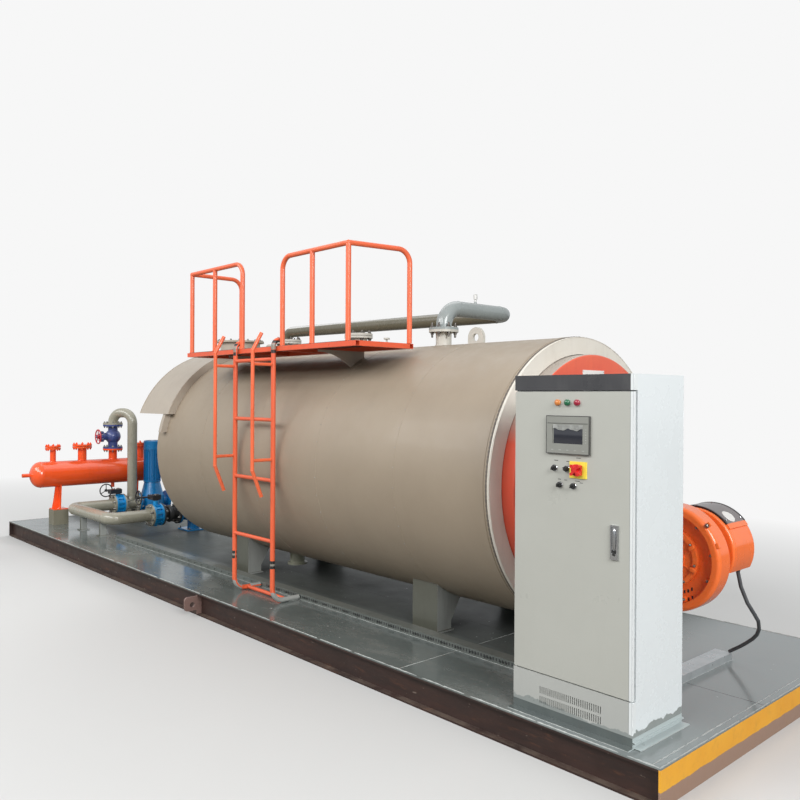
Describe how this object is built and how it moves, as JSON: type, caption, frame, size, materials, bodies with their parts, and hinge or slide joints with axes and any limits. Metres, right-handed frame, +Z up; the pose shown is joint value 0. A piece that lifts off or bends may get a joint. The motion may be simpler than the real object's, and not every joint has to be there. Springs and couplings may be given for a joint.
{
  "type": "industrial boiler",
  "caption": "Skid-mounted fire-tube water boiler with burner, service platform, control cabinet, header vessel, suction pipework and pumps.",
  "frame": {"origin": "centre of the box of the whole part on the floor plane, under the skid's centre", "axes": "+X along the boiler towards the burner, +Y away from the ladder and cabinet door side, +Z up"},
  "size_m": [10, 2.94, 3.21],
  "materials": {
    "skid_paint": "dull dark red-brown primer, scuffed",
    "front_beam_paint": "yellow-orange paint, worn",
    "deck_paint": "grey-green gloss paint, marked",
    "casing_paint": "beige grey paint, dirty",
    "cream_paint": "cream paint",
    "primer_paint": "dark primer",
    "orange_paint": "orange-red paint",
    "burner_paint": "orange paint",
    "grey_paint": "grey-green paint",
    "floor_steel": "dull sheet steel",
    "cabinet_paint": "light grey powder paint",
    "cabinet_front_paint": "grey powder paint, peeling low down",
    "base_steel": "grey painted angle steel",
    "galvanised": "dull zinc",
    "screen_plastic": "grey plastic frame",
    "lamp_plastic": "coloured lens",
    "black_plastic": "black plastic",
    "yellow_plastic": "yellow plastic",
    "red_plastic": "red plastic",
    "chrome": "bright metal",
    "burner_steel": "grey casting",
    "cover_plastic": "dark grey plastic",
    "black_rubber": "black rubber",
    "blue_iron": "blue paint on castings",
    "valve_blue": "dark blue paint on a casting",
    "red_iron": "red paint",
    "black_iron": "black paint"
  },
  "bodies": {
    "skid": {"skid_side_beams": "skid_paint", "skid_cross_beams": "skid_paint", "skid_front_beam": "front_beam_paint", "deck_plate": "deck_paint", "lashing_lugs": "skid_paint", "boiler_shell": "casing_paint", "front_ring": "cream_paint", "front_plate": "primer_paint", "furnace_door": "orange_paint", "rear_plate": "casing_paint", "rear_hood": "casing_paint", "boiler_legs": "grey_paint", "top_nozzles": "cream_paint", "bottom_neck": "grey_paint", "lifting_lugs": "casing_paint", "upper_pipe": "grey_paint", "platform_frame": "orange_paint", "platform_floor": "floor_steel", "platform_brackets": "casing_paint", "left_railing": "orange_paint", "right_railing": "orange_paint", "ladder": "orange_paint", "grab_rails": "orange_paint", "cabinet_body": "cabinet_paint", "cabinet_fronts": "cabinet_front_paint", "cabinet_base": "base_steel", "burner_head": "burner_steel", "burner_housing": "burner_paint", "burner_cover": "cover_plastic", "fan_casing": "burner_paint", "burner_conduit": "black_rubber", "cable_tray": "base_steel", "tray_cover": "galvanised", "header_vessel": "orange_paint", "header_legs": "orange_paint", "header_pedestals": "grey_paint", "globe_valve": "valve_blue", "gooseneck_pipe": "grey_paint", "suction_pipe": "grey_paint", "butterfly_valves": "blue_iron", "rubber_joint": "black_rubber", "pump_casings": "blue_iron", "pump_motors": "blue_iron", "pipe_supports": "grey_paint"},
    "control_door": {"cabinet_door": "cabinet_front_paint", "screen_unit": "screen_plastic", "indicator_lamps": "lamp_plastic", "control_knobs": "black_plastic", "isolator_plate": "yellow_plastic", "door_handle": "chrome"},
    "isolator": {"isolator_handle": "red_plastic"},
    "globe_wheel": {"globe_handwheel": "red_iron"},
    "rear_gear": {"rear_gear_wheel": "black_iron"},
    "front_gear": {"front_gear_wheel": "black_iron"}
  },
  "joints": [
    {"name": "control_door_hinge", "type": "hinge", "parent": "skid", "child": "control_door", "pos_m": [4.036, -1.248, 1.2], "axis": [0, 0, -1], "range_deg": [0, 110]},
    {"name": "isolator_turn", "type": "hinge", "parent": "control_door", "child": "isolator", "pos_m": [4.458, -1.27, 1.588], "axis": [0, 1, 0], "range_deg": [-90, 0]},
    {"name": "globe_wheel_turn", "type": "hinge", "parent": "skid", "child": "globe_wheel", "pos_m": [-4.35, -0.354, 1.39], "axis": [0, 1, 0], "continuous": true},
    {"name": "rear_gear_turn", "type": "hinge", "parent": "skid", "child": "rear_gear", "pos_m": [-4.24, -0.28, 0.625], "axis": [1, 0, 0], "continuous": true},
    {"name": "front_gear_turn", "type": "hinge", "parent": "skid", "child": "front_gear", "pos_m": [-2.845, -0.425, 0.665], "axis": [0, 1, 0], "continuous": true}
  ]
}
